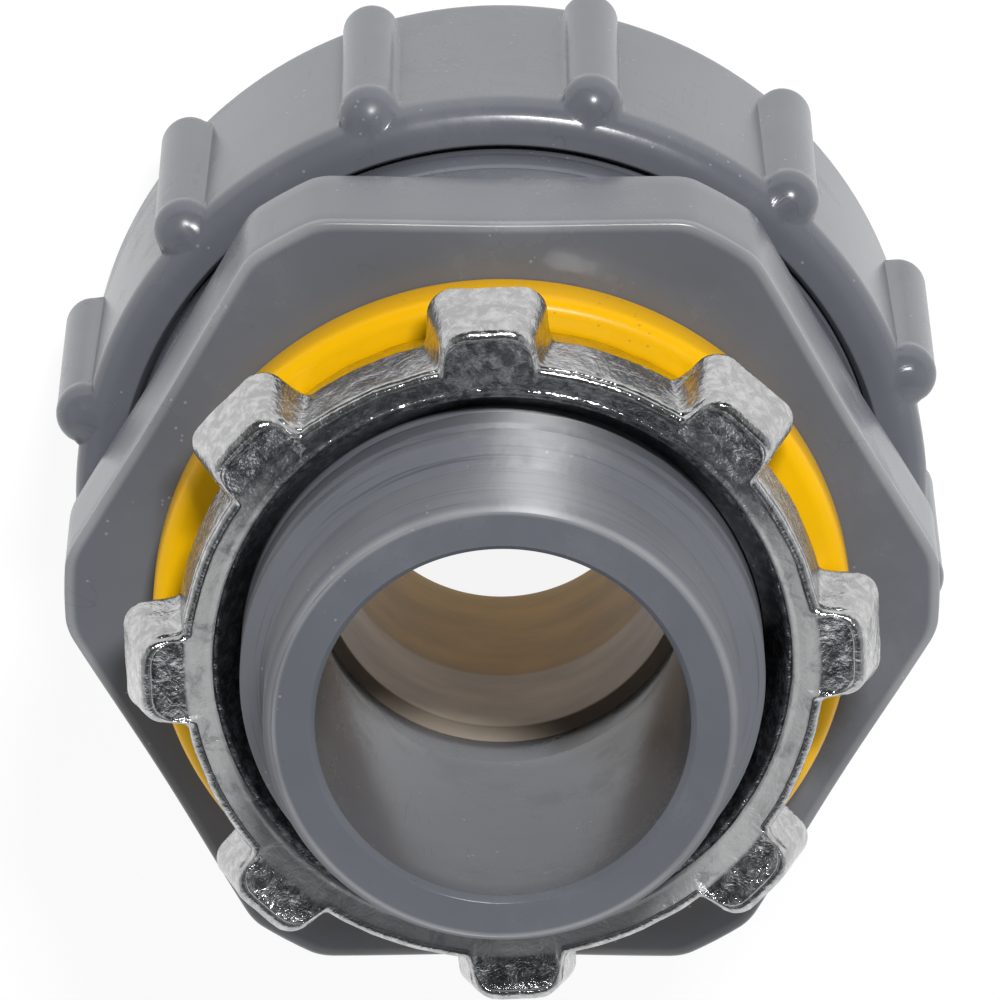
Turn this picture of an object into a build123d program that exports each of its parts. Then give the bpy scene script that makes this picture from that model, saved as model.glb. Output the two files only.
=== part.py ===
from build123d import *
from math import cos, radians
import os

# Straight half-inch connector for liquid-tight plastic conduit.
# It stands on the flat end of its gland nut with the threaded hub up.
# Millimetres. The origin is the centre of that flat end, and +Z runs along the bore to the hub.
# Threads are plain cylinders at their crests, and mating threads share the clearance below.

# Clearances
THREAD_CLEARANCE = 0.06
SLIP_CLEARANCE = 0.35
SEAT_GAP = 0.05

# Conduit that the connector takes
CONDUIT_R = 10.65

# Threaded hub
HUB_LENGTH = 13.6
HUB_THREAD_R = 10.5
HUB_LEAD_DROP = 1.0
HUB_LEAD_LENGTH = 3.8
HUB_THREAD_START = 0.7
HUB_END_CHAMFER = 0.55
HUB_END_STEP = 0.36
BORE_R = 7.43
BORE_EDGE_CHAMFER = 0.25

# Hexagonal flange with its corners turned off
FLANGE_STEP = 0.5
FLANGE_CORNER_CUT = 0.86
FLANGE_THICKNESS = 5.6
FLANGE_CORNER_ROUND = 1.2
FLANGE_EDGE_ROUND = 0.25

# Spigot behind the flange, threaded for the gland nut
SPIGOT_WALL = 4.7
SPIGOT_END_CHAMFER = 0.8
SPIGOT_MOUTH_WALL = 1.6
SHOULDER_DEPTH = 3.3
BORE_END_DEPTH = 0.15
RELIEF_STEP = 0.45

# Gland nut
NUT_LENGTH = 16.0
NUT_GAP = 4.0
NUT_WALL = 2.04
NUT_DRAFT = 0.25
NUT_RIM_ROUND = 1.15
NUT_MOUTH_CHAMFER = 0.28
NUT_MOUTH_DEPTH = 0.6
NUT_END_WALL = 3.1
NUT_END_BEVEL = 2.4
NUT_OPENING_ROUND = 1.0

# Grip ribs of the gland nut, each with a ball at its front end
RIB_COUNT = 12
RIB_FIRST_ANGLE = 18
RIB_R = 1.18
RIB_PROUD = 1.12
RIB_BALL_R = 1.28
RIB_BALL_PROUD = 1.15
RIB_BALL_SETBACK = 1.45
RIB_END_SETBACK = 4.4

# Sealing ring, which hangs off centre on the thread
RING_SLIP = 0.5
RING_WIDTH = 3.2
RING_THICKNESS = 2.3
RING_EDGE_ROUND = 0.7
RING_TOUCH = 0.1

# Cast locknut
LOCKNUT_WALL = 2.6
LOCKNUT_LUG_REACH = 2.1
LOCKNUT_THICKNESS = 5.7
LOCKNUT_PARTING_HEIGHT = 2.55
LOCKNUT_LUGS = 8
LOCKNUT_LUG_WIDTH = 4.8
LOCKNUT_FIRST_ANGLE = 2.6
LOCKNUT_FRONT_DRAFT = 0.27
LOCKNUT_FRONT_LUG_DRAFT = 0.75
LOCKNUT_BACK_DRAFT = 0.55
LOCKNUT_BACK_LUG_DRAFT = 1.05
LUG_SIDE_SHARE = 0.85
LOCKNUT_ROOT_ROUND = 0.9
LOCKNUT_TIP_ROUND = 1.1
LOCKNUT_DRAFTED_TIP_ROUND = 0.8
LOCKNUT_MOUTH_FLARE = 0.94
LOCKNUT_MOUTH_DEPTH = 2.3
LOCKNUT_BACK_CHAMFER = 0.4

# Ferrule inside the conduit
FERRULE_FLANGE_THICKNESS = 2.0
FERRULE_LENGTH = 12.2
FERRULE_MOUTH_DROP = 0.4
FERRULE_FUNNEL_DROP = 0.33
FERRULE_FUNNEL_LENGTH = 5.1
FERRULE_TAPER = 0.75
FERRULE_STEM_WALL = 0.75
FERRULE_TIP_WALL = 0.95
FERRULE_TIP_ROUND = 0.3

# Compression ring between the gland nut and the spigot
WEDGE_COLLAR_HEIGHT = 3.1
WEDGE_HEIGHT = 6.2
WEDGE_NOSE_WALL = 0.8
WEDGE_BORE_CLEARANCE = 0.15
WEDGE_SEAT_OVERRUN = 1.2
WEDGE_GAP = 0.35

# Heights of the stack, from the gland nut up
FLANGE_BACK = NUT_LENGTH + NUT_GAP
FLANGE_FRONT = FLANGE_BACK + FLANGE_THICKNESS
HUB_END = FLANGE_FRONT + HUB_LENGTH
SHOULDER = FLANGE_FRONT - SHOULDER_DEPTH
BORE_END = FLANGE_FRONT - BORE_END_DEPTH
WEDGE_BASE = NUT_END_WALL + SEAT_GAP
WEDGE_COLLAR_TOP = WEDGE_BASE + WEDGE_COLLAR_HEIGHT
WEDGE_TOP = WEDGE_BASE + WEDGE_HEIGHT
SPIGOT_END = WEDGE_COLLAR_TOP + WEDGE_GAP
SPIGOT_SEAT_END = WEDGE_TOP + WEDGE_SEAT_OVERRUN + WEDGE_GAP
LOCKNUT_BACK = FLANGE_FRONT + RING_THICKNESS + SEAT_GAP
LOCKNUT_FRONT = LOCKNUT_BACK + LOCKNUT_THICKNESS
FERRULE_FLANGE_BACK = SHOULDER - FERRULE_FLANGE_THICKNESS
FERRULE_TIP = SHOULDER - FERRULE_LENGTH

# Radii that mating pieces share
HUB_LEAD_R = HUB_THREAD_R - HUB_LEAD_DROP
SOCKET_R = CONDUIT_R + SLIP_CLEARANCE
SPIGOT_R = SOCKET_R + SPIGOT_WALL
SPIGOT_MOUTH_R = SPIGOT_R - SPIGOT_MOUTH_WALL
RELIEF_R = BORE_R + RELIEF_STEP
FLANGE_FLAT_R = SPIGOT_R + FLANGE_STEP
FLANGE_CORNER_R = FLANGE_FLAT_R / cos(radians(30)) - FLANGE_CORNER_CUT
NUT_BORE_R = SPIGOT_R + THREAD_CLEARANCE
NUT_FRONT_R = NUT_BORE_R + NUT_WALL
NUT_BACK_R = NUT_FRONT_R - NUT_DRAFT
RING_INNER_R = HUB_THREAD_R + RING_SLIP
RING_R = RING_INNER_R + RING_WIDTH
RING_OFFSET = RING_SLIP - RING_TOUCH
LOCKNUT_BORE_R = HUB_THREAD_R + THREAD_CLEARANCE
LOCKNUT_R = LOCKNUT_BORE_R + LOCKNUT_WALL
LOCKNUT_LUG_R = LOCKNUT_R + LOCKNUT_LUG_REACH
LOCKNUT_MOUTH_R = LOCKNUT_BORE_R + LOCKNUT_MOUTH_FLARE
WEDGE_BORE_R = CONDUIT_R + WEDGE_BORE_CLEARANCE
FERRULE_FUNNEL_R = BORE_R - FERRULE_FUNNEL_DROP
FERRULE_EXIT_R = FERRULE_FUNNEL_R - FERRULE_TAPER
FERRULE_STEM_R = FERRULE_FUNNEL_R + FERRULE_STEM_WALL
FERRULE_TIP_R = FERRULE_EXIT_R + FERRULE_TIP_WALL


def turned(*points):
    """Solid of revolution about Z from a closed outline of (radius, height) points."""
    return revolve(make_face(Polyline(*[(r, 0, z) for r, z in points], close=True)), Axis.Z)


def circles_at(part, height):
    """The part's circular edges at one height, from the smallest to the largest."""
    return part.edges().filter_by(GeomType.CIRCLE).filter_by_position(Axis.Z, height, height).sort_by(SortBy.RADIUS)


def hex_flange():
    """Hexagon with its corners turned to a circle and every outer edge softened."""
    plate = RegularPolygon(FLANGE_FLAT_R, 6, major_radius=False)
    plate = plate & Circle(FLANGE_CORNER_R)
    plate = fillet(plate.vertices(), FLANGE_CORNER_ROUND)
    flange = Pos(0, 0, FLANGE_BACK) * extrude(plate, FLANGE_THICKNESS)
    return fillet(flange.edges().filter_by_position(Axis.Z, FLANGE_FRONT, FLANGE_FRONT), FLANGE_EDGE_ROUND)


def body():
    """Hub, flange and spigot, moulded as one piece round the bore and the conduit's socket."""
    outside = turned(
        (0, HUB_END),
        (HUB_LEAD_R - HUB_END_STEP, HUB_END),
        (HUB_LEAD_R, HUB_END - HUB_END_CHAMFER),
        (HUB_LEAD_R, HUB_END - HUB_LEAD_LENGTH),
        (HUB_THREAD_R, HUB_END - HUB_LEAD_LENGTH - HUB_THREAD_START),
        (HUB_THREAD_R, FLANGE_BACK),
        (SPIGOT_R, FLANGE_BACK),
        (SPIGOT_R, SPIGOT_END + SPIGOT_END_CHAMFER),
        (SPIGOT_R - SPIGOT_END_CHAMFER, SPIGOT_END),
        (0, SPIGOT_END),
    )
    inside = turned(
        (0, HUB_END),
        (BORE_R + BORE_EDGE_CHAMFER, HUB_END),
        (BORE_R, HUB_END - BORE_EDGE_CHAMFER),
        (BORE_R, BORE_END),
        (RELIEF_R, BORE_END),
        (RELIEF_R, SHOULDER),
        (SOCKET_R, SHOULDER),
        (SOCKET_R, SPIGOT_SEAT_END),
        (SPIGOT_MOUTH_R, SPIGOT_END),
        (0, SPIGOT_END),
    )
    return outside + hex_flange() - inside


def rib():
    """One half-round grip rib, standing upright at the origin: ball, bar and round end."""
    top = NUT_LENGTH - RIB_BALL_SETBACK
    bar = Pos(0, 0, RIB_END_SETBACK) * Cylinder(
        RIB_R, top - RIB_END_SETBACK, align=(Align.CENTER, Align.CENTER, Align.MIN))
    end = Pos(0, 0, RIB_END_SETBACK) * Sphere(RIB_R)
    ball_shift = RIB_BALL_PROUD - RIB_BALL_R - (RIB_PROUD - RIB_R)
    ball = Pos(ball_shift, 0, top) * Sphere(RIB_BALL_R)
    return bar + end + ball


def gland_nut():
    """Drafted sleeve with an end wall and twelve grip ribs."""
    sleeve = turned(
        (NUT_BORE_R + NUT_MOUTH_CHAMFER, NUT_LENGTH),
        (NUT_FRONT_R, NUT_LENGTH),
        (NUT_BACK_R, NUT_END_BEVEL),
        (NUT_BACK_R - NUT_END_BEVEL, 0),
        (SOCKET_R, 0),
        (SOCKET_R, NUT_END_WALL),
        (NUT_BORE_R, NUT_END_WALL),
        (NUT_BORE_R, NUT_LENGTH - NUT_MOUTH_DEPTH),
    )
    sleeve = fillet(circles_at(sleeve, NUT_LENGTH)[-1], NUT_RIM_ROUND)
    sleeve = fillet(circles_at(sleeve, NUT_END_BEVEL)[-1], NUT_END_BEVEL / 2)
    sleeve = fillet(circles_at(sleeve, 0)[0], NUT_OPENING_ROUND)
    ribs = PolarLocations(NUT_FRONT_R + RIB_PROUD - RIB_R, RIB_COUNT, RIB_FIRST_ANGLE)
    return sleeve + [place * rib() for place in ribs]


def sealing_ring():
    """Flat plastic washer with a rounded outer edge, resting on the flange."""
    ring = Cylinder(RING_R, RING_THICKNESS, align=(Align.CENTER, Align.CENTER, Align.MIN))
    ring -= Cylinder(RING_INNER_R, RING_THICKNESS, align=(Align.CENTER, Align.CENTER, Align.MIN))
    ring = fillet(circles_at(ring, RING_THICKNESS)[-1], RING_EDGE_ROUND)
    return Pos(0, RING_OFFSET, FLANGE_FRONT) * ring


def locknut_plan(ring_draft, lug_draft, tip_round):
    """Outline of the locknut, drawn in by the casting's draft: a disc with eight lugs, corners rounded."""
    disc_r = LOCKNUT_R - ring_draft
    lug_r = LOCKNUT_LUG_R - lug_draft
    plan = Circle(disc_r)
    lug = Pos(lug_r / 2, 0) * Rectangle(lug_r, LOCKNUT_LUG_WIDTH - 2 * LUG_SIDE_SHARE * lug_draft)
    for place in PolarLocations(0, LOCKNUT_LUGS, LOCKNUT_FIRST_ANGLE):
        plan += place * lug
    roots = plan.vertices().filter_by(lambda v: v.X ** 2 + v.Y ** 2 < (disc_r + 0.01) ** 2)
    plan = fillet(roots, LOCKNUT_ROOT_ROUND)
    tips = plan.vertices().filter_by(lambda v: v.X ** 2 + v.Y ** 2 > lug_r ** 2)
    return fillet(tips, tip_round)


def locknut():
    """Cast ring with lugs drafted both ways from their parting line, its mouth opened by a long chamfer."""
    casting = loft([
        Pos(0, 0, LOCKNUT_BACK) * locknut_plan(
            LOCKNUT_BACK_DRAFT, LOCKNUT_BACK_LUG_DRAFT, LOCKNUT_DRAFTED_TIP_ROUND),
        Pos(0, 0, LOCKNUT_BACK + LOCKNUT_PARTING_HEIGHT) * locknut_plan(0, 0, LOCKNUT_TIP_ROUND),
        Pos(0, 0, LOCKNUT_FRONT) * locknut_plan(
            LOCKNUT_FRONT_DRAFT, LOCKNUT_FRONT_LUG_DRAFT, LOCKNUT_DRAFTED_TIP_ROUND)], ruled=True)
    return casting - turned(
        (0, LOCKNUT_BACK),
        (LOCKNUT_BORE_R + LOCKNUT_BACK_CHAMFER, LOCKNUT_BACK),
        (LOCKNUT_BORE_R, LOCKNUT_BACK + LOCKNUT_BACK_CHAMFER),
        (LOCKNUT_BORE_R, LOCKNUT_FRONT - LOCKNUT_MOUTH_DEPTH),
        (LOCKNUT_MOUTH_R, LOCKNUT_FRONT),
        (0, LOCKNUT_FRONT),
    )


def ferrule():
    """Flange on the spigot's shoulder, a funnel mouth and a tapered stem for the conduit."""
    return turned(
        (BORE_R, SHOULDER - FERRULE_MOUTH_DROP),
        (RELIEF_R, SHOULDER),
        (SOCKET_R - SEAT_GAP, SHOULDER),
        (SOCKET_R - SEAT_GAP, FERRULE_FLANGE_BACK),
        (FERRULE_STEM_R, FERRULE_FLANGE_BACK),
        (FERRULE_TIP_R, FERRULE_TIP + FERRULE_TIP_ROUND),
        (FERRULE_TIP_R - FERRULE_TIP_ROUND, FERRULE_TIP),
        (FERRULE_EXIT_R, FERRULE_TIP),
        (FERRULE_FUNNEL_R, SHOULDER - FERRULE_FUNNEL_LENGTH),
    )


def compression_ring():
    """Wedge ring on the nut's end wall, its cone under the spigot's conical mouth."""
    return turned(
        (WEDGE_BORE_R, WEDGE_BASE),
        (SPIGOT_MOUTH_R, WEDGE_BASE),
        (SPIGOT_MOUTH_R, WEDGE_COLLAR_TOP),
        (WEDGE_BORE_R + WEDGE_NOSE_WALL, WEDGE_TOP),
        (WEDGE_BORE_R, WEDGE_TOP),
    )


nodes = {
    "body": body(),
    "gland_nut": gland_nut(),
    "sealing_ring": sealing_ring(),
    "locknut": locknut(),
    "ferrule": ferrule(),
    "compression_ring": compression_ring(),
}

os.makedirs("parts", exist_ok=True)
for name, solid in nodes.items():
    export_step(solid, f"parts/{name}.step")
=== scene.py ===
import bpy
import numpy as np
from mathutils import Matrix, Vector


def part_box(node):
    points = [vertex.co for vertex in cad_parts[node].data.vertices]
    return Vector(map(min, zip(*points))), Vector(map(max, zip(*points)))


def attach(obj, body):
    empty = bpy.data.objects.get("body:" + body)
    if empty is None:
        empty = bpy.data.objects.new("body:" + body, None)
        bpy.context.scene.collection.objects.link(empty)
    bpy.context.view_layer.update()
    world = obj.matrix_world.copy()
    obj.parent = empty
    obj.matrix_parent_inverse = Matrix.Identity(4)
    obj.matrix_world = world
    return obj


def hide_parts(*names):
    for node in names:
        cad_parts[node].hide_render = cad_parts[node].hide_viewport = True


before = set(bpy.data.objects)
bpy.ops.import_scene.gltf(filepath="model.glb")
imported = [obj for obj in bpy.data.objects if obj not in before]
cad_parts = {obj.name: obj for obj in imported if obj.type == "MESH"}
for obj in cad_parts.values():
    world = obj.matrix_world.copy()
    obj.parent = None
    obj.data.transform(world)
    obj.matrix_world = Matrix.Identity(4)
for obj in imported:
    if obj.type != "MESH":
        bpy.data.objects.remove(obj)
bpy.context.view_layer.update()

bl_info = {
    "name": "Conduit Connector",
    "version": (1, 0, 0),
    "blender": (4, 5, 0),
    "location": "View3D > Sidebar > Connector",
    "description": "Half-inch connector for liquid-tight plastic conduit, built around its packed frame",
    "category": "Add Mesh",
}

# Lengths are metres, and MM turns millimetres into them. Angles are radians unless a name says degrees.
MM = 0.001
BODY_LOW, BODY_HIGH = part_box("body")
NUT_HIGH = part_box("gland_nut")[1]
RING_LOW, RING_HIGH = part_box("sealing_ring")
LOCKNUT_LOW, LOCKNUT_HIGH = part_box("locknut")
FERRULE_LOW, FERRULE_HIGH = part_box("ferrule")
WEDGE_LOW, WEDGE_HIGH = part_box("compression_ring")


def length(label, text, mm):
    """Length property, written in millimetres and kept in metres."""
    return bpy.props.FloatProperty(
        name=label, description=text, default=mm * MM, unit="LENGTH", precision=5)


def colour(label, text, red, green, blue):
    """Colour property in scene-linear values."""
    return bpy.props.FloatVectorProperty(
        name=label, description=text, default=(red, green, blue), size=3, subtype="COLOR", min=0, max=1)


class ConnectorBodySizes(bpy.types.PropertyGroup):
    """Sizes of the moulded body that its box doesn't give."""
    bore: length("Bore radius", "Radius of the hub's bore", 7.43)
    lead: length("Lead-in radius", "Plain end of the hub ahead of its thread", 9.5)
    lead_length: length("Lead-in length", "Length of the plain end", 3.8)
    thread: length("Hub thread radius", "Crests of the hub's thread", 10.5)
    thread_start: length("Thread start", "Length of the cone where the hub's thread begins", 0.75)
    thread_pitch: length("Hub thread pitch", "Advance of the hub's thread in one turn", 1.814)
    thread_depth: length("Hub thread depth", "Depth of the hub's moulded thread", 0.5)
    flange_thickness: length("Flange thickness", "Thickness of the hexagonal flange", 5.6)
    flange_flat: length("Flange half width", "Axis to the middle of a flat", 16.2)
    flange_corner: length("Flange corner radius", "Circle that cuts the hexagon's corners", 17.85)
    flange_sink: length("Flange sink", "Hollow that cooling leaves in each flat", 0.1)
    spigot: length("Spigot radius", "Crests of the spigot's thread", 15.7)
    spigot_pitch: length("Spigot thread pitch", "Advance of the gland nut's thread in one turn", 2.0)
    spigot_depth: length("Spigot thread depth", "Depth of the spigot's thread", 0.75)
    socket: length("Socket radius", "Room for the conduit", 11.0)
    mouth: length("Socket mouth radius", "Wide end of the cone that the compression ring enters", 14.1)
    relief: length("Relief radius", "Wider stretch between bore and ferrule", 7.88)
    hub_length: length("Hub length", "Hub above the flange", 13.6)
    shoulder_depth: length("Shoulder depth", "Flange face down to the ferrule's seat", 3.3)


class ConnectorNutSizes(bpy.types.PropertyGroup):
    """Sizes of the gland nut that its box doesn't give."""
    front: length("Front radius", "Outside of the sleeve at its front rim", 17.8)
    back: length("Back radius", "Outside of the sleeve at its back", 17.55)
    bore: length("Thread radius", "Crests of the thread inside the nut", 15.76)
    end_wall: length("End wall", "Thickness of the wall behind the compression ring", 3.1)
    bevel: length("End bevel", "Bevel round the flat end", 2.4)
    rim_round: length("Rim round", "Rounding of the front rim", 1.15)
    rib_count: bpy.props.IntProperty(name="Ribs", description="Grip ribs round the nut", default=12, min=3)
    rib_angle: bpy.props.FloatProperty(
        name="First rib", description="Angle of the first rib from +X, in degrees", default=18.0)
    rib_radius: length("Rib radius", "Half the width of a rib", 1.18)
    rib_proud: length("Rib height", "How far a rib stands out from the front of the sleeve", 1.12)
    ball_radius: length("Ball radius", "Ball at the front end of a rib", 1.28)
    ball_proud: length("Ball height", "How far a ball stands out", 1.146)
    ball_setback: length("Ball setback", "Front rim back to the ball's centre", 1.45)
    rib_end: length("Rib end", "Height of the centre of a rib's round end", 4.4)


class ConnectorLocknutSizes(bpy.types.PropertyGroup):
    """Sizes of the cast locknut that its box doesn't give."""
    bore: length("Bore radius", "Crests of the locknut's thread", 10.56)
    mouth: length("Mouth radius", "Wide end of the chamfer at the front", 11.35)
    mouth_round: length("Mouth round", "Rounding between that chamfer and the front", 0.25)
    burr: length("Mouth burr", "Height of the raised edge round the mouth", 0.12)
    lug_corner: length("Lug corner", "Radius of a lug's two corners", 1.05)
    bowl: length("Front bowl", "Depth of the front at its mouth, below the lugs' tips", 0.9)
    bowl_edge: length("Bowl edge", "Depth of the front at the ring's outer edge", 0.25)
    mouth_depth: length("Mouth depth", "Depth of the chamfer at the mouth", 2.3)
    parting: length("Parting height", "Height of the casting's parting line above its back", 2.55)
    ring: length("Ring radius", "Outside of the ring between lugs, at the parting line", 13.16)
    lug_reach: length("Lug reach", "Axis to the tip of a lug, at the parting line", 15.26)
    lug_width: length("Lug width", "Width of a lug at the parting line", 4.7)
    front_draft: length("Front draft", "How far the ring draws in to the front", 0.27)
    front_lug_draft: length("Front lug draft", "How far a lug draws in to the front", 0.75)
    back_draft: length("Back draft", "How far the ring draws in to the back", 0.55)
    back_lug_draft: length("Back lug draft", "How far a lug draws in to the back", 1.05)
    edge: length("Edge round", "Rounding of the front edges", 0.35)
    dish: length("Lug dish", "Hollow in the front face of each lug", 0.15)
    grain: length("Cast grain", "Height of the uneven cast skin", 0.04)
    lugs: bpy.props.IntProperty(name="Lugs", description="Lugs round the locknut", default=8, min=3)
    lug_angle: bpy.props.FloatProperty(
        name="First lug", description="Angle of the first lug from +X, in degrees", default=2.6)


class ConnectorColours(bpy.types.PropertyGroup):
    """Colours of the plastics and of the zinc."""
    grey: colour("Grey plastic", "Moulded body, nut and compression ring", 0.136, 0.145, 0.167)
    grey_light: colour("Worn grey", "Edges and scuffs of the grey plastic", 0.3, 0.305, 0.32)
    yellow: colour("Yellow plastic", "Sealing ring", 0.84, 0.46, 0.0)
    zinc: colour("Cast zinc", "Bright skin of the locknut", 0.66, 0.66, 0.66)
    zinc_dark: colour("Dull zinc", "Dark ground of the lugs' faces", 0.2, 0.2, 0.21)
    tan: colour("Tan plastic", "Stem of the ferrule", 0.78, 0.49, 0.13)
    cream: colour("Cream plastic", "Funnel of the ferrule", 0.9, 0.76, 0.6)


def rounded(corners, steps=6):
    """Closed outline through corners of (radius, height, rounding, other values).

    Each corner becomes an arc tangent to both of its sides. The arc's centre lies on the corner's
    bisector, rounding / sin(half angle) away, and its ends lie rounding / tan(half angle) along the sides.
    The points between turn evenly about the centre. Other values are kept along each corner's arc.
    """
    corners = np.array(corners, float)
    here = corners[:, :2]
    rounding = corners[:, 2:3]
    back = np.roll(here, 1, 0) - here
    ahead = np.roll(here, -1, 0) - here
    back /= np.linalg.norm(back, axis=1, keepdims=True)
    ahead /= np.linalg.norm(ahead, axis=1, keepdims=True)
    half = 0.5 * np.arccos(np.clip((back * ahead).sum(1, keepdims=True), -1, 1))
    bisector = back + ahead
    bisector /= np.linalg.norm(bisector, axis=1, keepdims=True)
    centre = here + bisector * rounding / np.sin(half)
    start = here + back * rounding / np.tan(half) - centre
    end = here + ahead * rounding / np.tan(half) - centre
    swing = (np.pi - 2 * half)[:, :, None]
    part = np.linspace(0, 1, steps)[None, :, None]
    arc = np.sin((1 - part) * swing) * start[:, None] + np.sin(part * swing) * end[:, None]
    points = (centre[:, None] + arc / np.sin(swing)).reshape(-1, 2)
    return np.hstack([points, np.repeat(corners[:, 3:], steps, axis=0)])


def filled(outline, steps):
    """Closed outline with each side cut into equal parts no longer than its entry in steps.

    The last column marks edges, so the points that are added have nought there.
    """
    sides = np.roll(outline, -1, 0) - outline
    cuts = np.maximum(1, np.ceil(np.hypot(sides[:, 0], sides[:, 1]) / steps)).astype(int)
    owner = np.repeat(np.arange(len(outline)), cuts)
    place = np.arange(cuts.sum()) - np.repeat(np.cumsum(cuts) - cuts, cuts)
    points = outline[owner] + sides[owner] * (place / cuts[owner])[:, None]
    points[place > 0, -1] = 0
    return points


def smooth_max(a, b, blend):
    """Larger of two heights, with their meeting rounded over a blend length."""
    near = np.clip(1 - np.abs(a - b) / blend, 0, 1)
    return np.maximum(a, b) + near * near * blend / 4


def smooth_min(a, b, blend):
    """Smaller of two heights, with their meeting rounded over a blend length."""
    return -smooth_max(-a, -b, blend)


def fade(value, low, high):
    """Nought below low and one above high, easing between them."""
    part = np.clip((value - low) / (high - low), 0, 1)
    return part * part * (3 - 2 * part)


def from_nearest(angle, first, period):
    """Angle in radians from the nearest of evenly spaced places, given in degrees."""
    half = np.radians(period / 2)
    return (angle - np.radians(first) + half) % np.radians(period) - half


def thread_cut(height, angle, pitch, depth, root_share):
    """Depth of a right-hand thread below its crests.

    The phase is height / pitch less angle / full turn. Crests are flat, and within root_share of a turn
    the groove's flanks fall in straight lines to a narrow flat root.
    """
    phase = height / pitch - angle / (2 * np.pi)
    from_root = np.abs(phase % 1.0 - 0.5) * 2
    return depth * np.clip((root_share - from_root) / (0.8 * root_share), 0, 1)


def grid_piece(name, radius, angle, height, edge, material, shift=(0, 0)):
    """Closed piece from a grid of radius and height against rows of an outline and columns of angle.

    A point is (radius cos angle, radius sin angle, height). Rows and columns both wrap round, so the
    surface is a ring with no seam and no pole. Edge marks the points on outer edges, from nought to one.
    """
    radius, angle, height, edge = np.broadcast_arrays(radius, angle, height, edge)
    x, y = radius * np.cos(angle) + shift[0], radius * np.sin(angle) + shift[1]
    points = np.stack([x, y, height], axis=-1)
    rows, columns = radius.shape
    index = np.arange(rows * columns).reshape(rows, columns)
    below = np.roll(index, -1, 0)
    quads = np.stack([index, np.roll(index, -1, 1), np.roll(below, -1, 1), below], axis=-1).reshape(-1, 4)
    flat = points.reshape(-1, 3)
    a, b, c = (flat[quads[:, k]] for k in range(3))
    if (a * np.cross(b - a, c - a)).sum() < 0:
        quads = quads[:, ::-1]
    mesh = bpy.data.meshes.new(name)
    mesh.from_pydata(flat, [], quads)
    mesh.polygons.foreach_set("use_smooth", np.ones(len(quads), bool))
    mark = mesh.attributes.new("edge", "FLOAT", "POINT")
    mark.data.foreach_set("value", np.ascontiguousarray(edge, np.float32).ravel())
    mesh.materials.append(material)
    mesh.validate()
    mesh.update()
    piece = bpy.data.objects.new(name, mesh)
    bpy.context.scene.collection.objects.link(piece)
    return piece


def round_grid(outline):
    """Radius, angle, height and edge of an outline's rows, with a column every 1.5 degrees."""
    radius, height, edge = (column[:, None] for column in outline.T)
    return radius, np.radians(np.arange(0, 360, 1.5))[None, :], height, edge


def dressed(piece, node, body):
    """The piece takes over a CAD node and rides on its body."""
    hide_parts(node)
    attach(piece, body)
    return piece


def node_of(tree, kind, inputs=None, **values):
    """Adds a shader node, sets its own values and then its input sockets."""
    node = tree.nodes.new(kind)
    for key, value in values.items():
        setattr(node, key, value)
    for key, value in (inputs or {}).items():
        if isinstance(value, bpy.types.NodeSocket):
            tree.links.new(value, node.inputs[key])
        else:
            node.inputs[key].default_value = value
    return node


def maths(tree, operation, a, b=0.5):
    """Output of a Math node on one or two values."""
    return node_of(tree, "ShaderNodeMath", {0: a, 1: b}, operation=operation).outputs[0]


def times(tree, a, b):
    """Product of two values."""
    return maths(tree, "MULTIPLY", a, b)


def plus(tree, a, b):
    """Sum of two values."""
    return maths(tree, "ADD", a, b)


def ramp(tree, value, low, high, out_low=0.0, out_high=1.0):
    """Value eased from one range to another."""
    inputs = {"Value": value, "From Min": low, "From Max": high, "To Min": out_low, "To Max": out_high}
    return node_of(tree, "ShaderNodeMapRange", inputs, interpolation_type="SMOOTHSTEP").outputs[0]


def mixed(tree, factor, a, b):
    """Colour between two colours."""
    node = tree.nodes.new("ShaderNodeMix")
    node.data_type = "RGBA"
    for socket, value in ((node.inputs[0], factor), (node.inputs[6], a), (node.inputs[7], b)):
        if isinstance(value, bpy.types.NodeSocket):
            tree.links.new(value, socket)
        else:
            socket.default_value = value
    return node.outputs[2]


def noise(tree, point, scale, detail=2.0, roughness=0.5, distortion=0.0):
    """Fractal noise at a point, from nought to one."""
    inputs = {"Vector": point, "Scale": scale, "Detail": detail,
              "Roughness": roughness, "Distortion": distortion}
    return node_of(tree, "ShaderNodeTexNoise", inputs).outputs["Fac"]


def stretched(tree, point, scale, turn=(0, 0, 0)):
    """Point scaled differently along each axis, after a turn."""
    inputs = {"Vector": point, "Scale": scale, "Rotation": turn}
    return node_of(tree, "ShaderNodeMapping", inputs).outputs[0]


def group_of(name, inputs, outputs):
    """Empty shader node group with named sockets, and its input and output nodes."""
    tree = bpy.data.node_groups.new(name, "ShaderNodeTree")
    for label, kind, default in inputs:
        socket = tree.interface.new_socket(label, in_out="INPUT", socket_type=kind)
        if default is not None:
            socket.default_value = default
    for label, kind in outputs:
        tree.interface.new_socket(label, in_out="OUTPUT", socket_type=kind)
    return tree, tree.nodes.new("NodeGroupInput").outputs, tree.nodes.new("NodeGroupOutput").inputs


# Scales of the noises are counts of cells along a metre, and a speck's radius is a share of its cell
SCRATCH_ACROSS, SCRATCH_ALONG, SCRATCH_STRETCHES = 900.0, 55.0, 330.0
SPECK_CELLS, SPECK_CLUSTERS, SPECK_RADIUS = 2200.0, 420.0, 0.14
PATCH_CELLS = 95.0
RINGS_ROUND = 60.0


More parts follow.
